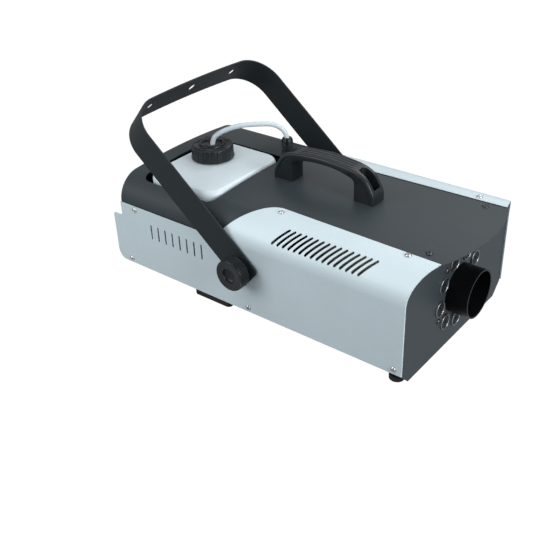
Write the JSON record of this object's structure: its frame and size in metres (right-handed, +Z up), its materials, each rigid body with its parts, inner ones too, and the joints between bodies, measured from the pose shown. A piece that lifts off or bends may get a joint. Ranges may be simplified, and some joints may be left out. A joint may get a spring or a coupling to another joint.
{
  "type": "fog machine",
  "caption": "Stage fog machine: sheet steel case with wrapped side panels, lamp ring round a nozzle, lift-out tank, carry handle and a tilting yoke.",
  "frame": {"origin": "on the floor under the middle of the whole machine", "axes": "+X the way the fog leaves, +Y to the machine's left side, +Z up"},
  "size_m": [0.516, 0.3184, 0.2741],
  "materials": {
    "silver_panel": "satin silver grey powder coat",
    "case_black": "matt black powder coat",
    "nozzle_black": "gloss black enamelled steel",
    "screw_black": "black plated steel",
    "yoke_black": "satin black powder coat",
    "black_plastic": "moulded black nylon",
    "foot_rubber": "black rubber",
    "steel": "zinc plated steel",
    "washer_plastic": "moulded nylon",
    "tank_plastic": "milky blow moulded polyethylene",
    "hose_plastic": "milky clear tubing",
    "tray_steel": "plain galvanised sheet",
    "bezel_chrome": "bright plated ring",
    "lens_clear": "clear moulded lens",
    "card_green": "lacquered circuit card",
    "component_black": "moulded component",
    "tip_brass": "machined brass",
    "block_aluminium": "cast aluminium",
    "jacket_fibre": "woven glass fibre",
    "winding_copper": "lacquered copper wire"
  },
  "bodies": {
    "case": {"right_side_panel": "silver_panel", "left_side_panel": "silver_panel", "top_cover": "case_black", "front_plate": "case_black", "rear_plate": "case_black", "base_pan": "case_black", "nozzle_sleeve": "nozzle_black", "cover_screws": "screw_black", "front_screws": "screw_black", "handle": "black_plastic", "gland_body": "black_plastic", "gland_nut": "black_plastic", "gland_locknut": "black_plastic", "mains_inlet": "black_plastic", "power_switch": "black_plastic", "fuse_holder": "black_plastic", "remote_socket": "black_plastic", "front_feet": "foot_rubber", "rear_feet": "foot_rubber", "case_screws": "steel", "foot_screws": "steel", "handle_screws": "steel", "handle_nuts": "steel", "pivot_nuts": "steel", "heater_brackets": "steel", "pump_bracket": "steel", "transformer_core": "steel", "feed_tube": "steel", "thermostat": "steel", "pivot_washers": "washer_plastic", "board_spacers": "washer_plastic", "card_pillars": "washer_plastic", "pump_body": "washer_plastic", "tank": "tank_plastic", "pickup_strainer": "tank_plastic", "suction_hose": "hose_plastic", "pickup_tube": "hose_plastic", "inlet_tube": "hose_plastic", "tank_tray": "tray_steel", "led_bezels": "bezel_chrome", "led_lenses": "lens_clear", "led_chips": "lens_clear", "led_board": "card_green", "control_card": "card_green", "card_components": "component_black", "pump_coil": "component_black", "nozzle_tip": "tip_brass", "mains_pins": "tip_brass", "fuse_link": "tip_brass", "thermal_fuse": "tip_brass", "heater_block": "block_aluminium", "heater_insulation": "jacket_fibre", "transformer_winding": "winding_copper"},
    "yoke": {"yoke": "yoke_black"},
    "right_knob": {"right_knob": "black_plastic"},
    "left_knob": {"left_knob": "black_plastic"},
    "cap": {"tank_cap": "black_plastic", "cap_gasket": "foot_rubber"},
    "rocker": {"power_rocker": "black_plastic"},
    "fuse_cap": {"fuse_cap": "black_plastic"}
  },
  "joints": [
    {"name": "yoke_tilt", "type": "hinge", "parent": "case", "child": "yoke", "pos_m": [-0.0163, 0, 0.0935], "axis": [0, 1, 0], "range_deg": [-23, 115]},
    {"name": "right_knob_turn", "type": "hinge", "parent": "case", "child": "right_knob", "pos_m": [-0.0163, -0.1367, 0.0935], "axis": [0, 1, 0], "range_deg": [0, 360]},
    {"name": "left_knob_turn", "type": "hinge", "parent": "case", "child": "left_knob", "pos_m": [-0.0163, 0.1367, 0.0935], "axis": [0, 1, 0], "range_deg": [0, 360]},
    {"name": "cap_turn", "type": "hinge", "parent": "case", "child": "cap", "pos_m": [-0.1672, -0.012, 0.167], "axis": [0, 0, 1], "range_deg": [0, 360]},
    {"name": "power_rocker_tilt", "type": "hinge", "parent": "case", "child": "rocker", "pos_m": [-0.236, 0.012, 0.06], "axis": [0, 1, 0], "range_deg": [0, 16]},
    {"name": "fuse_cap_turn", "type": "hinge", "parent": "case", "child": "fuse_cap", "pos_m": [-0.239, 0.045, 0.06], "axis": [1, 0, 0], "range_deg": [0, 90]}
  ]
}
